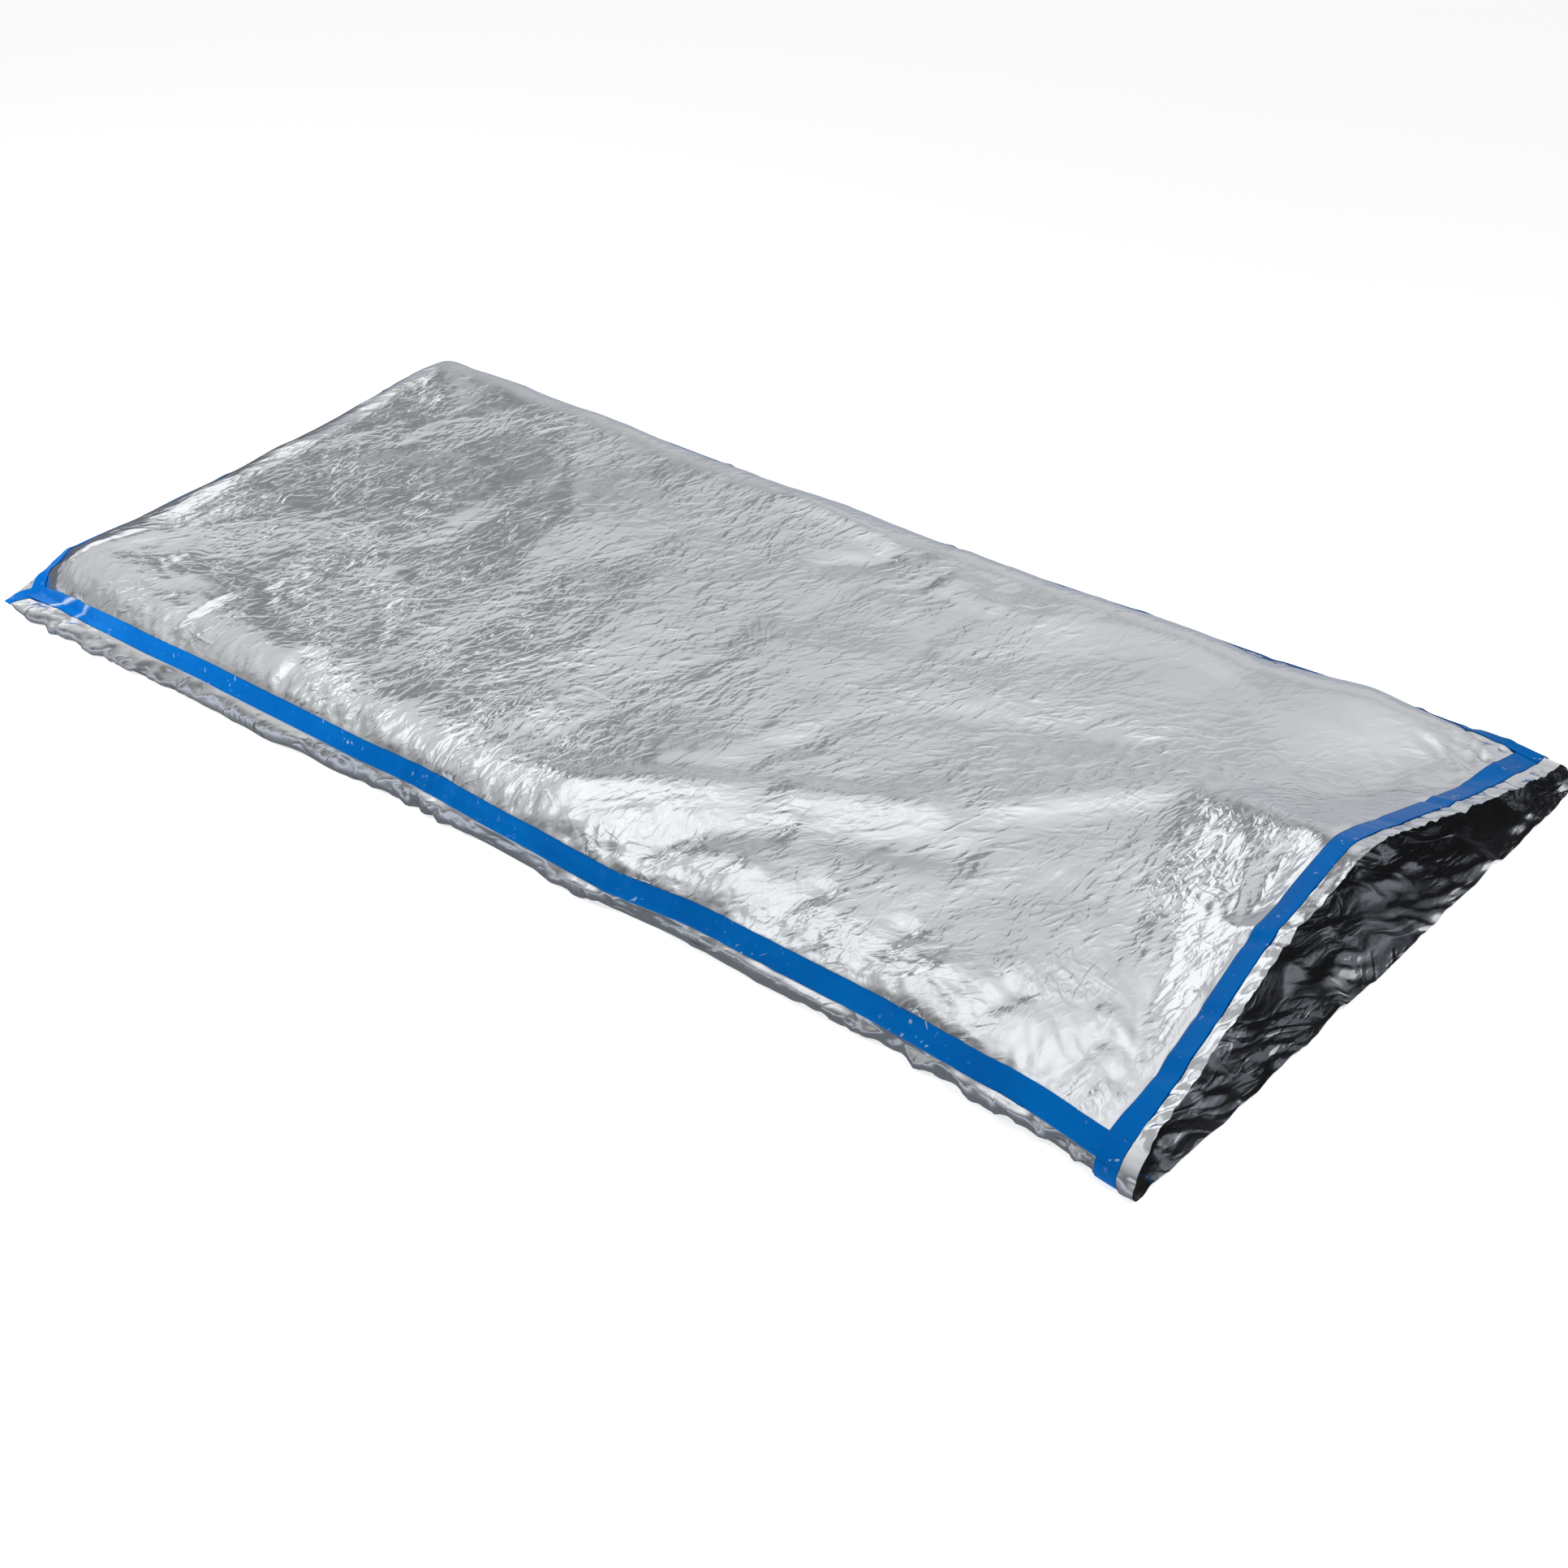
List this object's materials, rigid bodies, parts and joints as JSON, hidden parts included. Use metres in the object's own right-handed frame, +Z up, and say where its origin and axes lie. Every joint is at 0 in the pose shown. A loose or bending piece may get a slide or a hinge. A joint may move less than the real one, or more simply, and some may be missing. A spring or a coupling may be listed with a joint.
{
  "type": "bivy bag",
  "caption": "Soft metallised-film bivy bag lying puffed on a flat surface, mouth raised in a tent, blue tape along sides, foot and mouth; shelters a person lying down.",
  "frame": {"origin": "on the surface it lies on, under the middle of the bag", "axes": "+X from the foot to the mouth, +Y from the near side to the far side, +Z up"},
  "size_m": [2.1434, 0.9264, 0.201],
  "materials": {
    "film": "thin crinkled metallised film, silver on both faces",
    "tape": "glossy blue adhesive tape"
  },
  "bodies": {
    "root": {"base_film": "film", "top_film": "film", "near_side_tape": "tape", "far_side_tape": "tape", "foot_tape": "tape", "mouth_tape": "tape"}
  },
  "joints": []
}
